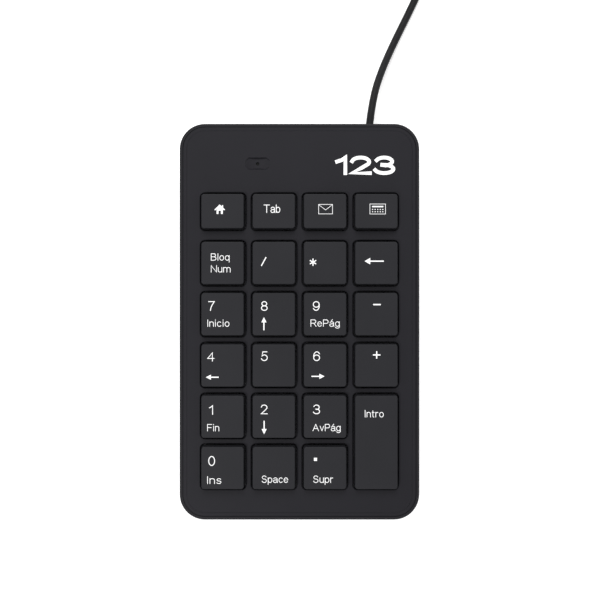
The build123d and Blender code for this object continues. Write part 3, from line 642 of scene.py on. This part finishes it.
def calculator_icon():
    """A case with a display and two rows of buttons."""
    shapes = frame_outline(-2.49, -1.19, 3.46, 2.68, ICON_LINE)
    left, button_w, button_h = -1.6, 0.37, 0.35
    shapes.append(rectangle(left, 1.4, 2.57, 1.9))
    for row in range(2):
        for column in range(5):
            x, y = left + column * 0.95, 0.4 - row * 0.85
            shapes.append(rectangle(x, y, x + button_w, y + button_h))
    return shapes


def star_shape(x, y, radius, width):
    """Six short arms."""
    bars = []
    for i in range(3):
        a = math.radians(90 + 60 * i)
        dx, dy = radius * math.cos(a), radius * math.sin(a)
        bars.append(bar(x - dx, y - dy, x + dx, y + dy, width))
    return bars


# Signs and icons, in millimetres from the key's middle.
SHAPES = {
    "key_home": home_icon(),
    "key_mail": mail_icon(),
    "key_calculator": calculator_icon(),
    "key_divide": [bar(-4.65, -1.1, -2.85, 2.2, 0.38)],
    "key_multiply": star_shape(-4.5, 0.3, 1.35, 0.38),
    "key_backspace": arrow((2.75, 0.68), (-4.39, 0.68), 0.45, 2.1, 2.4),
    "key_8": arrow((-3.68, -5.93), (-3.68, -1.1)),
    "key_2": arrow((-3.6, -1.45), (-3.6, -6.4)),
    "key_4": arrow((-1.41, -4.33), (-6.21, -4.33)),
    "key_6": arrow((-5.06, -4.0), (-0.22, -4.0)),
    "key_minus": [bar(-1.2, 3.6, 1.6, 3.6, 0.5)],
    "key_plus": [bar(-1.3, 3.95, 1.49, 3.95, 0.45), bar(0.1, 2.57, 0.1, 5.32, 0.45)],
    "key_decimal": [rectangle(-4.15, 2.7, -3.0, 3.85)],
}


INK_THICK, INK_LIFT, INK_LEVELS = 0.015, 0.0004, 7          # crossing strokes differ in level


def print_on(name, shapes, matrix, body, material):
    """One printed piece: flat shapes (in millimetres) given an ink's thickness."""
    bm = bmesh.new()
    for i, outline in enumerate(shapes):
        top = INK_THICK + INK_LIFT * (i % INK_LEVELS)
        low = [bm.verts.new((x, y, 0)) for x, y in outline]
        high = [bm.verts.new((x, y, top)) for x, y in outline]
        bm.faces.new(high)
        bm.faces.new(low[::-1])
        for j in range(len(outline)):
            k = (j + 1) % len(outline)
            bm.faces.new((low[j], low[k], high[k], high[j]))
    bmesh.ops.recalc_face_normals(bm, faces=bm.faces)
    bm.transform(Matrix.Scale(MM, 4))
    data = bpy.data.meshes.new(name)
    bm.to_mesh(data)
    bm.free()
    obj = bpy.data.objects.new(name, data)
    bpy.context.scene.collection.objects.link(obj)
    obj.matrix_world = matrix
    data.materials.append(material)
    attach(obj, body)


def make_legends(material):
    """Each key's print rides on its key."""
    for name in KEYS:
        shapes = list(SHAPES.get(name, []))
        for words in LEGENDS.get(name, []):
            shapes += text_shapes(*words)
        if shapes:
            x, y = key_centre(name)
            print_on(name.replace("key_", "legend_"), shapes, deck_matrix(x, y, KEY_STANDS),
                     name, material)


BADGE_LEFT, BADGE_BASE, BADGE_HEIGHT, BADGE_WIDTH, BADGE_INK = 13.4, 55.0, 7.2, 22.6, 0.19


def make_badge(material):
    """Generic print in the corner behind the keys: the first three digits, in bold."""
    shapes = text_shapes("123", BADGE_LEFT, BADGE_BASE, BADGE_HEIGHT, BADGE_WIDTH, BADGE_INK)
    print_on("deck_print", shapes, deck_matrix(), "housing", material)


# ---- floor and light ----
FLOOR_HALF = 3.0
FLOOR_GLOW = 0.35                                           # lifts the shadows on the paper
WORLD_STRENGTH = 0.82


def make_floor():
    """Plain pale paper, at the height of the feet."""
    s = Shader("floor_paper")
    s.colour(s.ramp(s.noise(40, 3), (0.90, 0.90, 0.90), (0.92, 0.92, 0.92)))
    s.roughness(s.ramp(s.noise(600, 2), 0.75, 0.85))
    s.bump((s.noise(1500, 3), 0.01 * MM))
    s.set(Emission_Color=(1, 1, 1, 1), Emission_Strength=FLOOR_GLOW)
    mesh = bpy.data.meshes.new("floor")
    corners = rectangle(-FLOOR_HALF, -FLOOR_HALF, FLOOR_HALF, FLOOR_HALF)
    mesh.from_pydata([(x, y, 0) for x, y in corners], [], [range(4)])
    floor = bpy.data.objects.new("floor", mesh)
    bpy.context.scene.collection.objects.link(floor)
    mesh.materials.append(s.material)


def area_light(name, at, size, power):
    """A round lamp that faces the origin."""
    data = bpy.data.lights.new(name, "AREA")
    data.shape = "DISK"
    data.size = size
    data.energy = power
    light = bpy.data.objects.new(name, data)
    light.location = at
    light.rotation_euler = (-Vector(at)).to_track_quat("-Z", "Y").to_euler()
    bpy.context.scene.collection.objects.link(light)


def make_light():
    """White surroundings, a lamp at the front left and a soft one behind."""
    world = bpy.data.worlds.new("studio")
    world.use_nodes = True
    background = world.node_tree.nodes["Background"]
    background.inputs["Color"].default_value = (1, 1, 1, 1)
    background.inputs["Strength"].default_value = WORLD_STRENGTH
    bpy.context.scene.world = world
    area_light("key_light", (-0.52, -0.5, 0.98), 0.2, 4.2)
    area_light("rear_softbox", (-0.05, 0.85, 1.0), 0.7, 9.0)
    bpy.context.scene.view_settings.view_transform = "Standard"


def main():
    """Everything round the frame, in the order of its making."""
    make_camera()
    tie = make_tie()
    cord = make_cord()
    materials = make_materials()
    paint_frame(materials)
    paint(cord, materials["cable_jacket"])
    paint(tie, materials["tie_plastic"])
    white = ink("legend_ink", (0.92, 0.92, 0.92))
    make_legends(white)
    make_badge(white)
    make_floor()
    make_light()


main()
bpy.context.view_layer.update()
